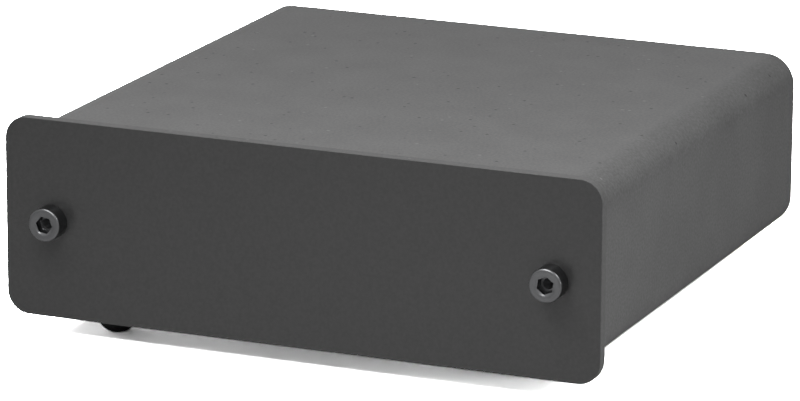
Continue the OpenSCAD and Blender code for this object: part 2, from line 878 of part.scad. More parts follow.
module selector_housing() {
    cavity_w = switch_w - 2 * switch_wall;
    cavity_h = switch_h - 2 * switch_wall;
    color("#d9d4c4")
        difference() {
            block(selector_x, switch_y, board_z, switch_w, switch_l, switch_h);
            block(selector_x, switch_y + switch_wall, board_z + switch_wall, cavity_w,
                switch_l - 2 * switch_wall, cavity_h);
            block(selector_x, switch_y + switch_l / 2, selector_z - stem_w / 2 - slide_gap,
                stem_w + 2 * slide_gap, switch_l, stem_w + 2 * slide_gap);
            for (p = terminal_places())
                rod_z(p[0], p[1], board_z - overrun, switch_wall + 2 * overrun, terminal_r + seat_gap);
        }
}

module selector_terminals() {
    color("#b9bbbe")
        for (p = terminal_places())
            rod_z(p[0], p[1], pcb_z - lead_under, board_z + switch_wall - pcb_z + lead_under, terminal_r);
}

module selector_plunger() {
    slider_w = switch_w - 2 * switch_wall - 2 * slide_gap;
    slider_h = switch_h - 2 * switch_wall - 2 * slide_gap;
    color("#202124")
        union() {
            block(selector_x, slider_y, selector_z - slider_h / 2, slider_w, slider_l, slider_h);
            block(selector_x, slider_y + slider_l / 2, selector_z - stem_w / 2, stem_w,
                stem_end_y - slider_y - slider_l / 2, stem_w);
            rod_y(selector_x, selector_z, slider_y - peg_l, peg_l + slider_l / 2, peg_r);
        }
}

module selector_button() {
    socket_w = stem_w + 2 * seat_gap;
    color("#1a1a1b")
        difference() {
            union() {
                rod_y(selector_x, selector_z, button_y, button_end_y - edge_break - button_y, button_r);
                translate([selector_x, button_end_y - edge_break, selector_z])
                    rotate([-90, 0, 0])
                        cylinder(h = edge_break, r1 = button_r, r2 = button_r - edge_break);
            }
            block(selector_x, button_y - overrun, selector_z - socket_w / 2, socket_w,
                stem_in_button + overrun + seat_gap, socket_w);
        }
}

// Return spring: one round wire wound in a helix along Y, six-sided, eight rings to a turn
function spring_axis(i) = [
    spring_coil_r * cos(360 * i / rings_per_turn),
    spring_y + spring_wire_r + spring_rise * i / spring_rings,
    spring_coil_r * sin(360 * i / rings_per_turn)
];

function spring_point(i, j) =
    let (turn = 360 * i / rings_per_turn, side = 360 * j / ring_sides, at = spring_axis(i))
    [
        selector_x + at[0] + spring_wire_r * cos(side) * cos(turn),
        at[1] + spring_wire_r * sin(side),
        selector_z + at[2] + spring_wire_r * cos(side) * sin(turn)
    ];

module selector_spring() {
    points = [for (i = [0 : spring_rings]) for (j = [0 : ring_sides - 1]) spring_point(i, j)];
    walls = [
        for (i = [0 : spring_rings - 1])
            for (j = [0 : ring_sides - 1])
                let (k = (j + 1) % ring_sides, a = i * ring_sides, b = a + ring_sides)
                    each [[a + j, b + k, a + k], [a + j, b + j, b + k]]
    ];
    last = spring_rings * ring_sides;
    caps = [
        for (j = [1 : ring_sides - 2])
            each [[0, j, j + 1], [last, last + j + 1, last + j]]
    ];
    color("#c9cacc")
        polyhedron(points = points, faces = concat(walls, caps));
}

// Gap between one turn of the spring and the next, measured on the wire's own points
spring_gap = min([
    for (i = [0 : rings_per_turn - 1])
        for (j = [0 : ring_sides - 1])
            for (k = [0 : ring_sides - 1])
                norm(spring_point(i + rings_per_turn, j) - spring_point(i, k))
]);
echo(spring_gap = spring_gap);

// Electronics
module upright_leads(at, pitch, r, up) {
    for (side = [-1, 1])
        rod_z(at[0] + side * pitch / 2, at[1], pcb_z - lead_under, pcb_t + lead_under + up, r);
}

module can(at, r, h) {
    translate([at[0], at[1], board_z])
        difference() {
            union() {
                cylinder(h = h - edge_break, r = r);
                translate([0, 0, h - edge_break])
                    cylinder(h = edge_break, r1 = r, r2 = r - edge_break);
            }
            rotate_extrude()
                translate([r, cap_groove_z])
                    circle(r = cap_groove_r);
        }
}

module supply_capacitors() {
    color("#23242a")
        for (share = supply_cap_shares)
            union() {
                can(power_spot(share), supply_cap_r, supply_cap_h);
                upright_leads(power_spot(share), supply_cap_pitch, cap_lead_r, supply_cap_h / 2);
            }
}

module coupling_capacitors() {
    color("#1f2f5c")
        for (share = coupling_cap_shares)
            union() {
                can(spot(share), coupling_cap_r, coupling_cap_h);
                upright_leads(spot(share), coupling_cap_pitch, cap_lead_r, coupling_cap_h / 2);
            }
}

module film_capacitors() {
    color("#a3262a")
        for (share = film_cap_shares)
            union() {
                block(spot(share)[0], spot(share)[1] - film_cap_w / 2, board_z + film_cap_stand, film_cap_l,
                    film_cap_w, film_cap_h);
                upright_leads(spot(share), film_cap_pitch, cap_lead_r, film_cap_h / 2);
            }
}

module voltage_regulator() {
    body_z = board_z + regulator_stand;
    tab_h = regulator_body_h + regulator_tab_h;
    color("#1b1b1d")
        translate([power_x, power_spot(regulator_share)[1], 0])
            difference() {
                union() {
                    block(0, -regulator_t / 2, body_z, regulator_w, regulator_t, regulator_body_h);
                    block(0, regulator_t / 2 - regulator_tab_t, body_z, regulator_w, regulator_tab_t, tab_h);
                    for (leg = [-1, 0, 1])
                        block(leg * regulator_pitch, -regulator_leg / 2, pcb_z - lead_under,
                            regulator_leg, regulator_leg, body_z + regulator_leg - pcb_z + lead_under);
                }
                rod_y(0, body_z + regulator_body_h + regulator_tab_h / 2, -regulator_t, 2 * regulator_t,
                    regulator_hole_r);
            }
}

// Surface-mounted op-amp: its leads run out of the sides, down, and flat onto the board
module op_amp(share) {
    out_x = amp_w / 2 + amp_lead_reach;
    knee_x = amp_w / 2 + amp_lead_reach / 2;
    lead_z = amp_stand + amp_h / 2;
    translate([spot(share)[0], spot(share)[1], board_z]) {
        block(0, -amp_l / 2, amp_stand, amp_w, amp_l, amp_h);
        for (side = [0, 1])
            mirror([side, 0, 0])
                for (i = [0 : amp_leads - 1])
                    along_y((i - (amp_leads - 1) / 2) * amp_pitch - amp_lead_w / 2, amp_lead_w)
                        polygon([
                            [0, lead_z], [knee_x - amp_lead_t, lead_z], [knee_x - amp_lead_t, 0], [out_x, 0],
                            [out_x, amp_lead_t], [knee_x, amp_lead_t], [knee_x, lead_z + amp_lead_t],
                            [0, lead_z + amp_lead_t]
                        ]);
    }
}

module op_amps() {
    color("#18181a")
        for (share = amp_shares)
            op_amp(share);
}

module chip(at, l, w, h) {
    block(at[0], at[1] - w / 2, board_z, l, w, h);
}

module chip_resistors() {
    color("#2a2a2e")
        for (share = resistor_shares)
            chip(spot(share), chip_l, chip_w, chip_h);
}

module chip_capacitors() {
    color("#8a6a48")
        for (share = chip_cap_shares)
            chip(spot(share), chip_cap_l, chip_cap_w, chip_cap_h);
}

module protection_diode() {
    color("#1b1b1d")
        union() {
            chip(power_spot(diode_share), diode_l, diode_w, diode_h);
            chip(power_spot(diode_share), diode_l + 2 * diode_tab, diode_w / 2, diode_tab);
        }
}

case_sleeve();
front_panel();
rear_panel();
front_screws();
rear_screws();
foot_front_left();
foot_front_right();
foot_rear_left();
foot_rear_right();
main_pcb();
input_socket_block();
output_socket_block();
block_screws();
input_left_barrel();
input_right_barrel();
output_left_barrel();
output_right_barrel();
input_left_insulator();
input_right_insulator();
output_left_insulator();
output_right_insulator();
input_left_contact();
input_right_contact();
output_left_contact();
output_right_contact();
power_inlet_housing();
power_inlet_pin();
power_inlet_spring();
ground_post();
ground_washer();
ground_thumb_nut();
ground_lock_washer();
ground_solder_tag();
ground_inner_nut();
ground_wire();
selector_housing();
selector_terminals();
selector_plunger();
selector_button();
selector_spring();
op_amps();
voltage_regulator();
supply_capacitors();
coupling_capacitors();
film_capacitors();
chip_resistors();
chip_capacitors();
protection_diode();
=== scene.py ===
import math

import bmesh
import bpy
from mathutils import Matrix, Vector


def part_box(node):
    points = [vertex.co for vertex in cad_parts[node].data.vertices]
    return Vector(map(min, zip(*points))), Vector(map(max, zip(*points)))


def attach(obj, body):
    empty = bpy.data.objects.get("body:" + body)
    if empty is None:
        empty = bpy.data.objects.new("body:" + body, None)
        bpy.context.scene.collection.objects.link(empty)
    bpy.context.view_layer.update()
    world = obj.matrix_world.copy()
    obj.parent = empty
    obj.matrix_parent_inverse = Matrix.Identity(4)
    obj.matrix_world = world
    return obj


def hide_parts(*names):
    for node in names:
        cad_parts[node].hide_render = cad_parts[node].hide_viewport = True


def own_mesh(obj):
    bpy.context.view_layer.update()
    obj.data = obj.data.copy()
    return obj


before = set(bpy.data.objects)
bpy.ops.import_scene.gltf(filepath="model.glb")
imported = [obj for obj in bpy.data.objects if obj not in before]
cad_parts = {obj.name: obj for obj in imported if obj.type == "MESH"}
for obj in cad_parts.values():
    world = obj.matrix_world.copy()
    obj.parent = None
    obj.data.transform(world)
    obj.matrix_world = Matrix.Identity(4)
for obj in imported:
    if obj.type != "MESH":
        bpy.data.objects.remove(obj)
bpy.context.view_layer.update()

# Lengths are written in millimetres, unless a comment says otherwise, and turned to metres with this
MM = 0.001
ORIGIN = (0, 0, 0)

# The photograph's viewing angle, in degrees: round from the front to the right, up, and the roll
VIEW_AZIMUTH = 23.03
VIEW_ELEVATION = 15.08
VIEW_ROLL = 0.27
VIEW_PLACE = (313.465, -749.54, 235.005)
FOCAL_LENGTH = 225.8
SENSOR_WIDTH = 36


def towards(azimuth, elevation):
    """Direction away from the object, in degrees: azimuth 0 is its front, and 90 its right side."""
    turn = math.radians(azimuth)
    rise = math.radians(elevation)
    return Vector((math.sin(turn) * math.cos(rise), -math.cos(turn) * math.cos(rise), math.sin(rise)))


def place_camera():
    """Camera at the photograph's viewing angle."""
    turn = math.radians(VIEW_AZIMUTH)
    roll = math.radians(VIEW_ROLL)
    back = towards(VIEW_AZIMUTH, VIEW_ELEVATION)
    right = Vector((math.cos(turn), math.sin(turn), 0))
    up = right.cross(-back)
    rolled_right = right * math.cos(roll) + up * math.sin(roll)
    rolled_up = up * math.cos(roll) - right * math.sin(roll)
    lens = bpy.data.cameras.new("camera")
    lens.sensor_width = SENSOR_WIDTH
    lens.lens = FOCAL_LENGTH
    lens.clip_start = 0.05
    lens.clip_end = 20
    camera = bpy.data.objects.new("camera", lens)
    bpy.context.scene.collection.objects.link(camera)
    aim = Matrix((rolled_right, rolled_up, back)).transposed()
    camera.matrix_world = Matrix.Translation(Vector(VIEW_PLACE) * MM) @ aim.to_4x4()
    bpy.context.scene.camera = camera


place_camera()


def corners(node):
    """Lowest and highest corner of a solid, in millimetres."""
    low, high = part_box(node)
    return low / MM, high / MM


def middle(node):
    low, high = corners(node)
    return (low + high) / 2


# Outer faces of the two plates
front_face = corners("front_panel")[0].y
rear_face = corners("rear_panel")[1].y

# Finishes
# The Mix node's colours by number, because its numbers and vectors have the same names
MIX_COLOURS = (6, 7)
MIXED_COLOUR = 2


class Finish:
    """One procedural material: a shader, the object's own coordinates, and what is laid over them."""

    def __init__(self, name, roughness=0.5, metallic=0.0, specular=0.5):
        self.material = bpy.data.materials.new(name)
        self.material.use_nodes = True
        self.tree = self.material.node_tree
        self.shader = self.tree.nodes["Principled BSDF"]
        self.shader.inputs["Roughness"].default_value = roughness
        self.shader.inputs["Metallic"].default_value = metallic
        self.shader.inputs["Specular IOR Level"].default_value = specular
        self.place = self.tree.nodes.new("ShaderNodeTexCoord").outputs["Object"]
        self.relief = None

    def join(self, start, end):
        self.tree.links.new(start, end)

    def grain(self, size, detail=3.0):
        """Cloudy noise whose largest spots are about that size."""
        noise = self.tree.nodes.new("ShaderNodeTexNoise")
        noise.inputs["Scale"].default_value = 1 / (size * MM)
        noise.inputs["Detail"].default_value = detail
        self.join(self.place, noise.inputs["Vector"])
        return noise.outputs["Fac"]

    def cells(self, size):
        """Cells of that size, each with a random colour and the distance from its own point."""
        cells = self.tree.nodes.new("ShaderNodeTexVoronoi")
        cells.inputs["Scale"].default_value = 1 / (size * MM)
        self.join(self.place, cells.inputs["Vector"])
        return cells

    def ramp(self, value, stops):
        """Colour that a value picks between stops, each a position and its colour."""
        ramp = self.tree.nodes.new("ShaderNodeValToRGB")
        points = ramp.color_ramp.elements
        for point, (position, colour) in zip(points, stops, strict=True):
            point.position = position
            point.color = (*colour, 1)
        self.join(value, ramp.inputs["Fac"])
        return ramp.outputs["Color"]

    def blend(self, kind, share, first, second):
        """Two colours mixed by a share, which is a number or comes from another node."""
        mix = self.tree.nodes.new("ShaderNodeMix")
        mix.data_type = "RGBA"
        mix.blend_type = kind
        mix.clamp_factor = True
        if isinstance(share, float):
            mix.inputs["Factor"].default_value = share
        else:
            self.join(share, mix.inputs["Factor"])
        for value, number in zip((first, second), MIX_COLOURS):
            if isinstance(value, tuple):
                mix.inputs[number].default_value = (*value, 1)
            else:
                self.join(value, mix.inputs[number])
        return mix.outputs[MIXED_COLOUR]

    def past(self, axis, place, side):
        """One where the object's coordinate lies on that side of a place, and nothing elsewhere."""
        split = self.tree.nodes.new("ShaderNodeSeparateXYZ")
        self.join(self.place, split.inputs["Vector"])
        test = self.tree.nodes.new("ShaderNodeMath")
        test.operation = "GREATER_THAN" if side > 0 else "LESS_THAN"
        self.join(split.outputs[axis], test.inputs[0])
        test.inputs[1].default_value = place * MM
        return test.outputs["Value"]

    def colour(self, value):
        self.join(value, self.shader.inputs["Base Color"])

    def gloss(self, value, rough, rougher):
        """Roughness that follows a value from 0 to 1."""
        spread = self.tree.nodes.new("ShaderNodeMapRange")
        spread.inputs["To Min"].default_value = rough
        spread.inputs["To Max"].default_value = rougher
        self.join(value, spread.inputs["Value"])
        self.join(spread.outputs["Result"], self.shader.inputs["Roughness"])

    def bump(self, height, depth, strength):
        """Relief of that depth, on top of the relief that is there already."""
        bump = self.tree.nodes.new("ShaderNodeBump")
        bump.inputs["Distance"].default_value = depth * MM
        bump.inputs["Strength"].default_value = strength
        self.join(height, bump.inputs["Height"])
        if self.relief is not None:
            self.join(self.relief, bump.inputs["Normal"])
        self.relief = bump.outputs["Normal"]
        self.join(self.relief, self.shader.inputs["Normal"])


def shade(grey):
    return (grey, grey, grey)


def tinted(colour, share):
    """A colour made darker or lighter, up to white."""
    return tuple(min(1, part * share) for part in colour)


# Greys of the painted sleeve, of the plates' painted edges and of their dark faces, as shares of white
SLEEVE_GREY = 0.105
PLATE_EDGE_GREY = SLEEVE_GREY * 0.7
PLATE_GREY = 0.029

# The dark film on a plate goes this far round its edge
FILM_DEPTH = 0.03

# Pimples, with their painted shade and painted highlight, are made only above this height, which takes in
# the sleeve's top
PIMPLE_HEIGHT = 34

# Pimples of dust in the paint, as relief: size of a cell that may hold one, the pimple's radius as a share
# of the cell, the brightness under which a cell's random colour gives it one, and its grey as a share of
# the paint's, which is painted shade on the dark pimples and a painted highlight on the pale ones
PIMPLES_WITH_PAINTED_LIGHT = (
    (1.9, 0.11, 0.26, 0.45),
    (2.3, 0.09, 0.23, 1.6),
)


def pebbled(paint, grey):
    """Grain and colour of powder paint, with soft larger patches.

    A few pimples of dust stand out of it on top as relief, and their dark and pale colours are painted
    shade and a painted highlight on that relief.
    """
    fine = paint.grain(0.45)
    patches = paint.grain(9, detail=2)
    base = paint.ramp(fine, [(0.3, shade(grey * 0.8)), (0.7, shade(grey * 1.2))])
    cloud = paint.ramp(patches, [(0.3, shade(0.94)), (0.7, shade(1.06))])
    base = paint.blend("MULTIPLY", 1.0, base, cloud)
    above = paint.past("Z", PIMPLE_HEIGHT, 1)
    for size, radius, limit, share in PIMPLES_WITH_PAINTED_LIGHT:
        spots = paint.cells(size)
        near = paint.ramp(spots.outputs["Distance"], [(radius, shade(1)), (radius * 1.7, shade(0))])
        few = paint.ramp(spots.outputs["Color"], [(limit, shade(1)), (limit + 0.04, shade(0))])
        pimple = paint.blend("MULTIPLY", 1.0, paint.blend("MULTIPLY", 1.0, near, few), above)
        # Dark pimples get painted shade and pale ones a painted highlight, over the relief that the bump
        # below gives them
        base = paint.blend("MIX", pimple, base, shade(grey * share))
        paint.bump(pimple, depth=0.05, strength=0.8)
    return fine, base


def sleeve_finish():
    """Pebbled dark grey powder paint, as on the sleeve."""
    paint = Finish("sleeve_paint", specular=0.06)
    fine, base = pebbled(paint, SLEEVE_GREY)
    paint.colour(base)
    paint.gloss(fine, rough=0.4, rougher=0.5)
    paint.bump(fine, depth=0.012, strength=0.5)
    return paint.material


def plate_finish(name, face, side):
    """A plate in the sleeve's paint, whose outer face carries a smooth and nearly black film."""
    plate = Finish(name, specular=0.37)
    fine, edge = pebbled(plate, PLATE_EDGE_GREY)
    film = plate.past("Y", face - FILM_DEPTH * side, side)
    even = plate.grain(0.5, detail=2)
    dark = plate.ramp(even, [(0.3, shade(PLATE_GREY * 0.9)), (0.7, shade(PLATE_GREY * 1.1))])
    plate.colour(plate.blend("MIX", film, edge, dark))
    painted_edge = plate.ramp(fine, [(0, shade(0.64)), (1, shade(0.74))])
    smooth_face = plate.ramp(even, [(0, shade(0.24)), (1, shade(0.28))])
    shine = plate.blend("MIX", film, painted_edge, smooth_face)
    plate.join(shine, plate.shader.inputs["Roughness"])
    plate.bump(even, depth=0.002, strength=0.5)
    return plate.material


def metal(name, colour, rough, rougher):
    """Plated or oxidised metal with fine tool marks and uneven shine."""
    plate = Finish(name, roughness=rough, metallic=1.0)
    marks = plate.grain(0.6, detail=4)
    cloud = plate.grain(3, detail=2)
    plate.colour(plate.ramp(cloud, [(0.3, tinted(colour, 0.9)), (0.7, colour)]))
    plate.gloss(marks, rough, rougher)
    plate.bump(marks, depth=0.004, strength=0.4)
    return plate.material


def moulded(name, colour, rough, rougher, grain=0.35, relief=0.006, specular=0.5):
    """Moulded plastic or rubber: even colour with a faint cloud, and a fine spark-eroded grain."""
    plastic = Finish(name, roughness=rough, specular=specular)
    fine = plastic.grain(grain, detail=2)
    cloud = plastic.grain(4, detail=2)
    plastic.colour(plastic.ramp(cloud, [(0.3, tinted(colour, 0.9)), (0.7, tinted(colour, 1.08))]))
    plastic.gloss(fine, rough, rougher)
    plastic.bump(fine, relief, strength=0.5)
    return plastic.material


def board_laminate():
    """Green solder mask over woven glass, with the weave and the copper showing faintly through it."""
    board = Finish("board_laminate", roughness=0.3)
    thread_width = 0.5
    weave = board.tree.nodes.new("ShaderNodeTexChecker")
    weave.inputs["Scale"].default_value = 1 / (thread_width * MM)
    board.join(board.place, weave.inputs["Vector"])
    copper = board.grain(6, detail=1)
    base = board.ramp(copper, [(0.46, (0.012, 0.11, 0.04)), (0.5, (0.02, 0.17, 0.06))])
    base = board.blend("MULTIPLY", 0.12, base, weave.outputs["Color"])
    board.colour(base)
    board.gloss(board.grain(0.7), rough=0.26, rougher=0.36)
    board.bump(copper, depth=0.03, strength=0.3)
    return board.material


sleeve_paint = sleeve_finish()
front_plate_paint = plate_finish("front_plate_paint", front_face, -1)
rear_plate_paint = plate_finish("rear_plate_paint", rear_face, 1)

# Metals and mouldings, each with its colour and its least and most roughness
black_oxide = metal("black_oxide", (0.115, 0.116, 0.119), 0.24, 0.38)
gilding = metal("gilding", (0.94, 0.7, 0.3), 0.16, 0.28)
nickel = metal("nickel", (0.66, 0.65, 0.62), 0.2, 0.34)
foot_rubber = moulded("foot_rubber", (0.016, 0.016, 0.016), 0.55, 0.7, grain=0.3, relief=0.01,
                      specular=0.35)
black_moulding = moulded("black_moulding", (0.018, 0.018, 0.019), 0.34, 0.46)
white_moulding = moulded("white_moulding", (0.78, 0.76, 0.7), 0.3, 0.4)
red_moulding = moulded("red_moulding", (0.5, 0.016, 0.014), 0.3, 0.4)
switch_moulding = moulded("switch_moulding", (0.66, 0.6, 0.46), 0.4, 0.5)
wire_jacket = moulded("wire_jacket", (0.03, 0.2, 0.05), 0.4, 0.5)
dark_sleeving = moulded("dark_sleeving", (0.02, 0.02, 0.028), 0.25, 0.34)
blue_sleeving = moulded("blue_sleeving", (0.016, 0.03, 0.13), 0.25, 0.34)
film_box = moulded("film_box", (0.36, 0.02, 0.022), 0.3, 0.42)
fired_clay = moulded("fired_clay", (0.28, 0.15, 0.07), 0.5, 0.62)
laminate = board_laminate()

# Shaping
# Points nearer than this are one point, on new parts and on copies of the solids
WELD = 0.001
SOLID_WELD = 0.002


def chain(part, points):
    """Points in the XZ plane, joined in order. Each is a radius and a height."""
    verts = [part.verts.new((radius * MM, 0, height * MM)) for radius, height in points]
    edges = [part.edges.new(pair) for pair in zip(verts, verts[1:])]
    return verts, edges


def turned(points, closed=False, sides=64):
    """A round shape: a profile of radii and heights, spun once round the Z axis."""
    part = bmesh.new()
    verts, edges = chain(part, points)
    if closed:
        edges.append(part.edges.new((verts[-1], verts[0])))
    bmesh.ops.spin(part, geom=verts + edges, cent=ORIGIN, axis=(0, 0, 1), dvec=ORIGIN, angle=math.tau,
                   steps=sides, use_merge=True, use_duplicate=False)
    return part


def swept(points, start, angle, steps, climb=0.0):
    """A solid with the profile's section, spun part of the way or several turns round the Z axis."""
    part = bmesh.new()
    verts, edges = chain(part, points)
    edges.append(part.edges.new((verts[-1], verts[0])))
    bmesh.ops.rotate(part, verts=verts, cent=ORIGIN, matrix=Matrix.Rotation(start, 3, "Z"))
    made = bmesh.ops.spin(part, geom=verts + edges, cent=ORIGIN, axis=(0, 0, 1),
                          dvec=(0, 0, climb * MM / steps), angle=angle, steps=steps, use_duplicate=False)
    far = [item for item in made["geom_last"] if isinstance(item, bmesh.types.BMEdge)]
    bmesh.ops.contextual_create(part, geom=edges)
    bmesh.ops.contextual_create(part, geom=far)
    return part


def ridge(root, crest, foot, flat, pitch, start, rise, steps):
    """The ridge of a screw thread. It starts at a height, and winds clockwise as it rises.

    Its foot and its flat crest are given as half widths, and its steps are those of one turn.
    """
    section = [(root, start - foot), (crest, start - flat), (crest, start + flat), (root, start + foot)]
    turns = rise / pitch
    return swept(section, 0, -math.tau * turns, round(steps * turns), rise)


def skinned(rings, sides=48, capped=True):
    """A solid whose rings round the Z axis are each drawn out of the last one.

    A ring is a height and a radius, or a height and a rule that gives the radius at each angle.
    """
    part = bmesh.new()
    ring = bmesh.ops.create_circle(part, cap_ends=False, radius=1, segments=sides)["verts"]
    loops = [part.edges[:]]
    for number, (height, reach) in enumerate(rings):
        if number > 0:
            drawn = bmesh.ops.extrude_edge_only(part, edges=loops[-1])["geom"]
            ring = {item for item in drawn if isinstance(item, bmesh.types.BMVert)}
            edges = [item for item in drawn if isinstance(item, bmesh.types.BMEdge)]
            loops.append([edge for edge in edges if ring.issuperset(edge.verts)])
        for point in ring:
            turn = math.atan2(point.co.y, point.co.x)
            radius = (reach(turn) if callable(reach) else reach) * MM
            point.co = Vector((math.cos(turn) * radius, math.sin(turn) * radius, height * MM))
    if capped:
        bmesh.ops.contextual_create(part, geom=loops[0])
        bmesh.ops.contextual_create(part, geom=loops[-1])
    return part


def arc(middle_radius, middle_height, size, start, end, steps=5):
    """Points of a rounded edge, as radii and heights, from one angle in degrees to the other."""
    points = []
    for i in range(steps + 1):
        turn = math.radians(start + (end - start) * i / steps)
        points.append((middle_radius + size * math.cos(turn), middle_height + size * math.sin(turn)))
    return points


def rod(start, end, radius, sides=20):
    """A straight round bar between two places."""
    part = bmesh.new()
    line = (Vector(end) - Vector(start)) * MM
    turn = line.to_track_quat("Z", "Y").to_matrix().to_4x4()
    place = Matrix.Translation((Vector(start) + Vector(end)) * MM / 2) @ turn
    bmesh.ops.create_cone(part, cap_ends=True, segments=sides, radius1=radius * MM, radius2=radius * MM,
                          depth=line.length, matrix=place)
    return part


def slab(low, high, edge=0.06):
    """A box between two corners, with its edges broken."""
    part = bmesh.new()
    size = (Vector(high) - Vector(low)) * MM
    place = Matrix.Translation((Vector(low) + Vector(high)) * MM / 2) @ Matrix.Diagonal((*size, 1))
    bmesh.ops.create_cube(part, size=1, matrix=place)
    bmesh.ops.bevel(part, geom=part.edges[:], offset=edge * MM, affect="EDGES", segments=2, profile=0.5,
                    material=-1)
    return part


# Degrees that turn a part about X, from facing up to facing another way
FACING = {"up": 0, "rear": -90, "front": 90}


def assembled(*placed):
    """One mesh from parts, each turned to face up, to the rear or to the front, and moved to its place."""
    whole = bmesh.new()
    for part, place, facing in placed:
        bmesh.ops.remove_doubles(part, verts=part.verts, dist=WELD * MM)
        bmesh.ops.recalc_face_normals(part, faces=part.faces)
        turn = Matrix.Rotation(math.radians(FACING[facing]), 4, "X")
        part.transform(Matrix.Translation(Vector(place) * MM) @ turn)
        mesh = bpy.data.meshes.new("part")
        part.to_mesh(mesh)
        part.free()
        whole.from_mesh(mesh)
        bpy.data.meshes.remove(mesh)
    return whole


# Pieces
def finished(bm, name, finish, body, nodes, sharp=30):
    """Makes a piece of a mesh and sets it in place of its solids. Edges past that angle stay sharp."""
    mesh = bpy.data.meshes.new(name)
    bm.to_mesh(mesh)
    bm.free()
    for spare in ("custom_normal", "sharp_edge", "sharp_face"):
        if spare in mesh.attributes:
            mesh.attributes.remove(mesh.attributes[spare])
    mesh.materials.clear()
    mesh.materials.append(finish)
    mesh.shade_smooth()
    mesh.set_sharp_from_angle(angle=math.radians(sharp))
    piece = bpy.data.objects.new(name, mesh)
    bpy.context.scene.collection.objects.link(piece)
    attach(piece, body)
    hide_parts(*nodes)
    return piece


def merged(node):
    """A copy of a solid's mesh, welded, with its flat faces whole."""
    bm = bmesh.new()
    bm.from_mesh(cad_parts[node].data)
    bmesh.ops.remove_doubles(bm, verts=bm.verts, dist=SOLID_WELD * MM)
    bmesh.ops.dissolve_limit(bm, angle_limit=math.radians(0.3), verts=bm.verts, edges=bm.edges)
    for face in bm.faces:
        face.material_index = 0
    return bm


def edged(piece, width, segments):
    """Breaks a piece's edges of more than 40 degrees."""
    edge = piece.modifiers.new("edge", "BEVEL")
    edge.width = width * MM
    edge.segments = segments
    edge.limit_method = "ANGLE"
    edge.angle_limit = math.radians(40)
    edge.harden_normals = True


def softened(node, name, finish, body, width, segments=2):
    """A solid's own shape with its sharp edges broken, as deburred metal and moulded plastic have them."""
    edged(finished(merged(node), name, finish, body, [node]), width, segments)


def painted(node, finish):
    """A solid that stays as it is, with its finish."""
    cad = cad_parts[node]
    cad.data.materials.clear()
    cad.data.materials.append(finish)
    for face in cad.data.polygons:
        face.material_index = 0


def hexagon(across, turn):
    """Rule for the radius of a hexagon of that width across its flats."""
    sixth = math.radians(60)
    return lambda angle: across / 2 / math.cos((angle - turn) % sixth - sixth / 2)


# Radius of a cap screw's head, and length of its shank
CAP_RADIUS = 2.75
SHANK_LENGTH = 10


def cap_screw(socket_turn):
    """Socket-head cap screw M3: rounded rim, drilled hexagon socket with a countersink, rolled thread."""
    height = 3.0
    rim = 0.36
    core = 1.24
    key = 2.5
    socket = hexagon(key, math.radians(socket_turn))
    shank = [(-SHANK_LENGTH, core - 0.45), (0.3 - SHANK_LENGTH, core), (0, core)]
    side = [(0, CAP_RADIUS - 0.15), (0.15, CAP_RADIUS)]
    lip = [(z, r) for r, z in arc(CAP_RADIUS - rim, height - rim, rim, 0, 90)]
    countersink = [(height, 1.7), (height - 0.05, 1.6), (height - 0.17, lambda turn: socket(turn) + 0.03)]
    hollow = [(height - 0.3, socket), (1.5, socket), (1.4, lambda turn: socket(turn) * 0.93)]
    drilled = [(1.4, 0.9), (0.35, 0.05)]
    body = skinned([*shank, *side, *lip, *countersink, *hollow, *drilled])
    screw_thread = ridge(core - 0.04, 1.5, foot=0.2, flat=0.05, pitch=0.5, start=0.3 - SHANK_LENGTH,
                         rise=SHANK_LENGTH - 0.6, steps=24)
    return body, screw_thread


def cap_screws(node, name, face, facing, socket_turns):
    """Left and right cap screw of a plate, whose sockets stopped at their own angles."""
    low, high = corners(node)
    parts = []
    for x, turn in zip((low.x + CAP_RADIUS, high.x - CAP_RADIUS), socket_turns):
        for part in cap_screw(turn):
            parts.append((part, (x, face, middle(node).z), facing))
    finished(assembled(*parts), name, black_oxide, "case", [node], sharp=32)


softened("case_sleeve", "sleeve", sleeve_paint, "case", 0.18)
softened("front_panel", "front_plate", front_plate_paint, "case", 0.2, segments=3)
softened("rear_panel", "rear_plate", rear_plate_paint, "case", 0.15)
cap_screws("front_screws", "front_screw_pair", front_face, "front", (50, 22.5))
cap_screws("rear_screws", "rear_screw_pair", rear_face, "rear", (7.5, 45))


def rubber_foot(corner):
    """Moulded foot: a cone with a round underside, and a plug that snaps through the sleeve's floor."""
    node = "foot_" + corner
    dome = 3.5
    flat = 1.5
    dome_height = math.sqrt(dome ** 2 - flat ** 2)
    lowest = -math.degrees(math.asin(dome_height / dome))
    sole = [(0, 0.12), (flat - 0.35, 0.1), *arc(0, dome_height, dome, lowest, 0, 12)]
    shoulder = [*arc(4.42, 6.32, 0.18, -20, 90, 4), (1.55, 6.5)]
    plug = [(1.55, 8.05), (2.05, 8.05), *arc(2.0, 8.75, 0.2, -45, 0, 3), *arc(1.6, 8.75, 0.5, 30, 90, 4)]
    foot = turned([*sole, *shoulder, *plug, (0, 9.25)], sides=48)
    at = middle(node)
    finished(assembled((foot, (at.x, at.y, 0), "up")), "rubber_" + node, foot_rubber, "case",
             [node], sharp=40)


for corner in ("front_left", "front_right", "rear_left", "rear_right"):
    rubber_foot(corner)


def socket_shell(socket, at):
    """Outer contact of a signal socket, with a rolled lip and a tab down to the board."""
    x, face, z = at
    heel = -5.5
    collar = [(3.35, heel), (3.9, heel), (3.9, 0), (4.15, 0), (4.15, 1.1)]
    groove = [(4.02, 1.25), (4.02, 1.55), (4.15, 1.7)]
    lip = [*arc(3.8, 8.65, 0.35, 0, 90), *arc(3.65, 8.7, 0.3, 90, 180, 4)]
    shell = turned([*collar, *groove, *lip], closed=True, sides=72)
    foot = corners(socket + "_barrel")[0].z
    tab = slab((x - 0.8, face + heel, foot), (x + 0.8, face + heel + 0.5, z - 3.4))
    finished(assembled((shell, at, "rear"), (tab, ORIGIN, "up")), socket + "_shell", gilding, "case",
             [socket + "_barrel"], sharp=40)


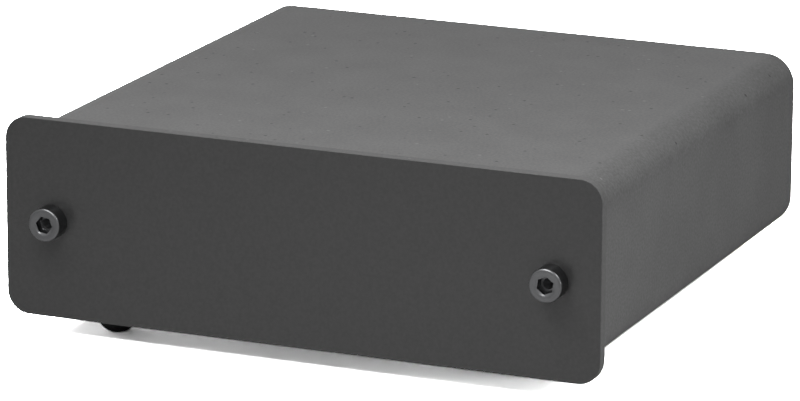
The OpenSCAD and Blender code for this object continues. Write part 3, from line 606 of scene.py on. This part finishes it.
def socket_ring(socket, at, tint):
    """Coloured insulator of a signal socket."""
    back = corners(socket + "_insulator")[0].y - at[1]
    bore = 0.55
    outside = [(bore, back), (3.3, back), *arc(3.0, 8.1, 0.3, 0, 90, 4)]
    mouth = [(2.5, 8.4), (2.35, 8.25), (2.16, 8.25), (2.16, back + 1), (bore, back + 1)]
    ring = turned([*outside, *mouth], closed=True, sides=64)
    finished(assembled((ring, at, "rear")), socket + "_ring", tint, "case", [socket + "_insulator"],
             sharp=40)


def socket_pin(socket, at):
    """Centre contact of a signal socket: a tube with four spring fingers, and a bent tail to the board."""
    x, face, z = at
    inner = 1.65
    outer = 2.1
    mouth = 8.2
    root = 2.6
    floor = -7.3
    heel = -8.5
    wire = 0.5
    quarter = math.radians(90)
    slit = math.radians(12)
    finger = [(inner, root), (outer, root), *arc(1.98, mouth - 0.12, 0.12, 0, 90, 3), (1.85, mouth),
              (inner, mouth - 0.25)]
    starts = [quarter * (i + 0.5) + slit / 2 for i in range(4)]
    fingers = [swept(finger, start, quarter - slit, 12) for start in starts]
    outside = [(0, heel), (outer, heel), (outer, root)]
    inside = [(inner, root), (inner, floor), (0, floor - 0.3)]
    tube = turned([*outside, *inside], sides=52)
    low = corners(socket + "_contact")[0]
    bend = (x, low.y + wire, z)
    tail = rod((x, face + heel + 0.2, z), bend, wire)
    leg = rod(bend, (x, low.y + wire, low.z), wire)
    knee = bmesh.new()
    bmesh.ops.create_uvsphere(knee, u_segments=20, v_segments=12, radius=wire * MM)
    parts = [(part, at, "rear") for part in (tube, *fingers)]
    parts += [(tail, ORIGIN, "up"), (leg, ORIGIN, "up"), (knee, bend, "up")]
    finished(assembled(*parts), socket + "_pin_tube", gilding, "case", [socket + "_contact"],
             sharp=40)


for line in ("input", "output"):
    softened(line + "_socket_block", line + "_block", black_moulding, "case", 0.12)
    for channel, tint, slot in (("_left", white_moulding, "white_plastic"),
                                ("_right", red_moulding, "red_plastic")):
        centre = middle(line + channel + "_insulator")
        at = (centre.x, rear_face, centre.z)
        socket_shell(line + channel, at)
        socket_ring(line + channel, at, tint)
        socket_pin(line + channel, at)


def cross(length, width):
    """Rule for the radius of a cross recess."""
    quarter = math.radians(90)

    def reach(turn):
        aside = abs((turn + quarter / 2) % quarter - quarter / 2)
        return min(length / 2 / math.cos(aside), width / 2 / max(math.sin(aside), 0.01))

    return reach


def block_screw():
    """Pan-head screw with a cross recess."""
    core = 1.25
    top = 1.8
    recess = cross(2.8, 0.7)
    shank = [(-8, 0.6), (-7.4, core), (0, core), (0, 2.3)]
    dome = [(z, r) for r, z in arc(1.2, 0.7, 1.1, 0, 90, 6)][:-1]
    edge = [(top, 1.75), (top, 1.6), (top, recess)]
    hollow = [(1.0, lambda turn: recess(turn) * 0.75), (0.8, lambda turn: recess(turn) * 0.3)]
    return skinned([*shank, *dome, *edge, *hollow])


def block_screws():
    """The two screws that hold the socket blocks to the rear plate."""
    head = 2.3
    low, high = corners("block_screws")
    height = middle("block_screws").z
    parts = [(block_screw(), (x, rear_face, height), "rear") for x in (low.x + head, high.x - head)]
    finished(assembled(*parts), "block_screw_pair", nickel, "case", ["block_screws"],
             sharp=40)


block_screws()


def inlet_body(axis):
    """Housing of the power inlet, with a chamfer round the mouth of its bore."""
    mouth = corners("power_inlet_housing")[1].y
    radius = 3.2
    bm = merged("power_inlet_housing")

    def on_rim(point):
        across = math.hypot(point.co.x / MM - axis.x, point.co.z / MM - axis.z)
        return abs(point.co.y / MM - mouth) < 0.01 and abs(across - radius) < 0.1

    rim = [edge for edge in bm.edges if all(on_rim(point) for point in edge.verts)]
    bmesh.ops.bevel(bm, geom=rim, offset=0.35 * MM, affect="EDGES", segments=2, profile=0.5, material=-1)
    edged(finished(bm, "inlet_body", black_moulding, "case", ["power_inlet_housing"]),
          0.1, 2)


def inlet_pin(axis):
    """Round-nosed centre pin of the power inlet, on a blade down to the board."""
    low, high = corners("power_inlet_pin")
    length = high.y - low.y
    nose = arc(0.4, length - 0.6, 0.6, 0, 90, 6)
    pin = turned([(0, 0), (1, 0), (1, length - 0.7), *nose, (0, length)], sides=40)
    blade = slab((axis.x - 1, low.y, low.z), (axis.x + 1, low.y + 0.6, axis.z + 1))
    finished(assembled((pin, (axis.x, low.y, axis.z), "rear"), (blade, ORIGIN, "up")), "inlet_pin", nickel,
             "case", ["power_inlet_pin"], sharp=40)


inlet_axis = middle("power_inlet_housing")
inlet_body(inlet_axis)
inlet_pin(inlet_axis)


def ground_stud(axis):
    """Threaded post of the ground terminal, with its flange."""
    low, high = corners("ground_post")
    base = low.y - rear_face
    tip = high.y - rear_face
    core = 1.66
    foot = [(0, base), (core - 0.3, base), (core, base + 0.3)]
    flange = [(core, 0), (3.65, 0), *arc(3.6, 1.3, 0.2, 0, 90, 3), (core, 1.5)]
    nose = [(core, tip - 0.5), (core - 0.45, tip - 0.02), (0, tip)]
    stud = turned([*foot, *flange, *nose], sides=48)
    climb = ridge(core - 0.05, 2.0, foot=0.3, flat=0.06, pitch=0.7, start=base + 0.4,
                  rise=tip - base - 0.9, steps=28)
    at = (axis.x, rear_face, axis.z)
    finished(assembled((stud, at, "rear"), (climb, at, "rear")), "ground_stud", gilding, "case",
             ["ground_post"], sharp=32)


def ground_collar(axis):
    """Captive washer of the ground terminal."""
    bore = 2.95
    seat = 3.25
    outside = [*arc(3.8, 0.2, 0.2, -90, 0, 3), *arc(3.8, 0.8, 0.2, 0, 90, 3)]
    collar = turned([(seat, 0), *outside, (bore, 1), (bore, 0.4), (seat, 0.4)], closed=True, sides=64)
    at = (axis.x, corners("ground_washer")[0].y, axis.z)
    finished(assembled((collar, at, "rear")), "ground_collar", gilding, "captive_washer",
             ["ground_washer"], sharp=40)


def ground_knob(axis):
    """Thumb nut of the ground terminal, with a straight knurl and a neck that holds the washer."""
    length = 6.5
    bore = 2.07
    teeth = 36
    points_of_tooth = 6
    radius = 4.75
    groove = 0.36

    def knurl(turn):
        return radius - groove * (0.5 - 0.5 * math.cos(teeth * turn))

    neck = [(-0.95, bore), (-0.95, 3.15), (-0.7, 3.15), (-0.65, 2.9), (0, 2.9)]
    grip = [(0, 4.2), (0.12, 4.42), (0.75, 4.42), (1.0, knurl), (length - 0.7, knurl)]
    brim = [(length - 0.25, 4.35), (length, 4.1), (length, 3.3)]
    dish = [(length - 0.25, 3.05), (length - 0.25, 2.45), (length - 0.6, bore), (-0.95, bore)]
    nut = skinned([*neck, *grip, *brim, *dish], sides=teeth * points_of_tooth, capped=False)
    at = (axis.x, corners("ground_thumb_nut")[1].y - length, axis.z)
    finished(assembled((nut, at, "rear")), "ground_knob", gilding, "thumb_nut",
             ["ground_thumb_nut"], sharp=32)


ground_axis = middle("ground_washer")
ground_stud(ground_axis)
ground_collar(ground_axis)
ground_knob(ground_axis)


def selector_cap():
    """Push button with a domed face."""
    low, high = corners("selector_button")
    centre = middle("selector_button")
    length = high.y - low.y
    side = [(0, 0), (2.65, 0), (2.8, 0.15), (2.8, length - 0.75)]
    shoulder = arc(2.35, length - 0.75, 0.45, 0, 70, 4)
    face = [(1.6, length - 0.1), (0.8, length - 0.02), (0, length)]
    cap = turned([*side, *shoulder, *face], sides=56)
    finished(assembled((cap, (centre.x, low.y, centre.z), "rear")), "selector_cap", black_moulding,
             "selector_push", ["selector_button"], sharp=40)


def return_spring():
    """Wound wire that pushes the button back out, with a closed turn at each end."""
    low, high = corners("selector_spring")
    centre = middle("selector_spring")
    length = high.y - low.y
    wire = 0.175
    coil = 1.3
    steps = 28
    open_turns = 6
    section = arc(coil, wire, wire, 0, 315, 7)
    closed_rise = 2 * wire
    open_rise = length - 2 * wire - 2 * closed_rise
    at = (centre.x, low.y, centre.z)
    parts = []
    for start, turns, rise in ((0, 1, closed_rise), (closed_rise, open_turns, open_rise),
                               (closed_rise + open_rise, 1, closed_rise)):
        raised = [(r, z + start) for r, z in section]
        parts.append((swept(raised, 0, math.tau * turns, steps * turns, rise), at, "rear"))
    spring = finished(assembled(*parts), "return_spring", nickel, "case",
                      ["selector_spring"], sharp=60)
    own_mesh(spring)


selector_cap()
return_spring()

for node, name, finish, slot, edge in (
        ("selector_housing", "switch_body", switch_moulding, "switch_plastic", 0.12),
        ("op_amps", "op_amp_trio", black_moulding, "black_plastic", 0.03),
        ("voltage_regulator", "regulator", black_moulding, "black_plastic", 0.08),
        ("supply_capacitors", "supply_cans", dark_sleeving, "capacitor_sleeve", 0.15),
        ("coupling_capacitors", "coupling_cans", blue_sleeving, "capacitor_blue", 0.12),
        ("film_capacitors", "film_boxes", film_box, "film_case", 0.15),
        ("ground_inner_nut", "inner_nut", nickel, "bright_steel", 0.15),
        ("ground_lock_washer", "lock_washer", nickel, "bright_steel", 0.06),
        ("ground_solder_tag", "solder_tag", nickel, "bright_steel", 0.06)):
    softened(node, name, finish, "case", edge)

for node, finish in (
        ("main_pcb", laminate),
        ("power_inlet_spring", nickel),
        ("selector_terminals", nickel),
        ("ground_wire", wire_jacket),
        ("selector_plunger", black_moulding),
        ("protection_diode", black_moulding),
        ("chip_resistors", black_moulding),
        ("chip_capacitors", fired_clay)):
    painted(node, finish)

# Studio
# Each lamp's name, the place it shines at in metres, azimuth and elevation in degrees, distance, width and
# height in metres, and power in watts
LAMPS = (
    ("overhead_softbox", (0.01, -0.13, 0.04), 10, 80, 0.13, 0.08, 0.08, 0.2),
    ("left_softbox", (0, -0.04, 0.02), -36, 62, 0.4, 0.16, 0.16, 0.77),
    ("right_softbox", (0.05, -0.02, 0.03), 75, 45, 0.18, 0.08, 0.08, 0.178),
    ("right_strip", (0.05, 0, 0.03), 95, 6, 0.4, 0.3, 0.05, 0.23),
    ("front_lamp", (0, -0.05, 0), -5, 31.5, 1.0, 0.12, 0.05, 1.25),
    ("rear_softbox", (0, 0.04, 0.02), 240, 8, 1.0, 0.8, 0.12, 0.4),
)


def soft_lamp(name, aim, azimuth, elevation, distance, width, height, power):
    """A softbox: azimuth 0 is in front of the object and 90 on its right."""
    back = towards(azimuth, elevation)
    lamp = bpy.data.lights.new(name, "AREA")
    lamp.shape = "RECTANGLE"
    lamp.size = width
    lamp.size_y = height
    lamp.energy = power
    box = bpy.data.objects.new(name, lamp)
    bpy.context.scene.collection.objects.link(box)
    box.location = Vector(aim) + back * distance
    box.rotation_mode = "QUATERNION"
    box.rotation_quaternion = back.to_track_quat("Z", "Y")


for lamp in LAMPS:
    soft_lamp(*lamp)

# Strength of the backdrop's light, and of the light from everywhere else
BACKDROP_LEVEL = 0.37
ROOM_LEVEL = 0.06

# The backdrop fades out between these heights and, towards the front, between these depths. Both are
# parts of a direction whose length is 1.
BACKDROP_TOP = (0.2, 0.42)
BACKDROP_SIDES = (-0.1, 0.5)
WHITE = (1, 1, 1, 1)


def studio_world():
    """White for the camera, and in whatever is glossy or clear.

    The rest is lit by a dim room, with a brighter backdrop low down behind the object.
    """
    world = bpy.data.worlds.new("studio")
    bpy.context.scene.world = world
    world.use_nodes = True
    tree = world.node_tree
    tree.nodes.clear()
    add = tree.nodes.new

    def fade(value, span, start, end):
        node = add("ShaderNodeMapRange")
        node.interpolation_type = "SMOOTHSTEP"
        for name, number in zip(("From Min", "From Max", "To Min", "To Max"), (*span, start, end)):
            node.inputs[name].default_value = number
        tree.links.new(value, node.inputs["Value"])
        return node.outputs["Result"]

    def result(kind, first, second):
        node = add("ShaderNodeMath")
        node.operation = kind
        for value, socket in zip((first, second), node.inputs):
            if isinstance(value, float):
                socket.default_value = value
            else:
                tree.links.new(value, socket)
        return node.outputs["Value"]

    split = add("ShaderNodeSeparateXYZ")
    tree.links.new(add("ShaderNodeTexCoord").outputs["Generated"], split.inputs["Vector"])
    low_down = fade(split.outputs["Z"], BACKDROP_TOP, 1, 0)
    behind = fade(split.outputs["Y"], BACKDROP_SIDES, 0, 1)
    backdrop = result("MULTIPLY", low_down, behind)
    level = result("ADD", result("MULTIPLY", backdrop, BACKDROP_LEVEL), ROOM_LEVEL)
    path = add("ShaderNodeLightPath")
    seen = result("MAXIMUM", path.outputs["Is Camera Ray"], path.outputs["Is Transmission Ray"])
    seen = result("MAXIMUM", seen, path.outputs["Is Glossy Ray"])
    light = add("ShaderNodeBackground")
    light.inputs["Color"].default_value = WHITE
    tree.links.new(level, light.inputs["Strength"])
    white = add("ShaderNodeBackground")
    white.inputs["Color"].default_value = WHITE
    either = add("ShaderNodeMixShader")
    tree.links.new(seen, either.inputs[0])
    tree.links.new(light.outputs[0], either.inputs[1])
    tree.links.new(white.outputs[0], either.inputs[2])
    tree.links.new(either.outputs[0], add("ShaderNodeOutputWorld").inputs["Surface"])


studio_world()

# The floor's own grey, and the grey that the camera sees, which clips to white where no shadow falls
FLOOR_GREY = 0.8
PAPER_GREY = 16
HALF_FLOOR_METRES = 3


def studio_floor():
    """A plain pale floor. The camera sees it as white paper that keeps the object's shadow."""
    bm = bmesh.new()
    bmesh.ops.create_grid(bm, x_segments=1, y_segments=1, size=HALF_FLOOR_METRES)
    mesh = bpy.data.meshes.new("floor")
    bm.to_mesh(mesh)
    bm.free()
    floor = bpy.data.objects.new("floor", mesh)
    bpy.context.scene.collection.objects.link(floor)
    paper = bpy.data.materials.new("paper")
    paper.use_nodes = True
    tree = paper.node_tree
    tree.nodes.clear()
    add = tree.nodes.new
    plain = add("ShaderNodeBsdfDiffuse")
    plain.inputs["Color"].default_value = (*shade(FLOOR_GREY), 1)
    bright = add("ShaderNodeBsdfDiffuse")
    bright.inputs["Color"].default_value = (*shade(PAPER_GREY), 1)
    either = add("ShaderNodeMixShader")
    tree.links.new(add("ShaderNodeLightPath").outputs["Is Camera Ray"], either.inputs[0])
    tree.links.new(plain.outputs[0], either.inputs[1])
    tree.links.new(bright.outputs[0], either.inputs[2])
    tree.links.new(either.outputs[0], add("ShaderNodeOutputMaterial").inputs["Surface"])
    mesh.materials.append(paper)


studio_floor()
bpy.context.scene.view_settings.view_transform = "Standard"

bpy.context.view_layer.update()
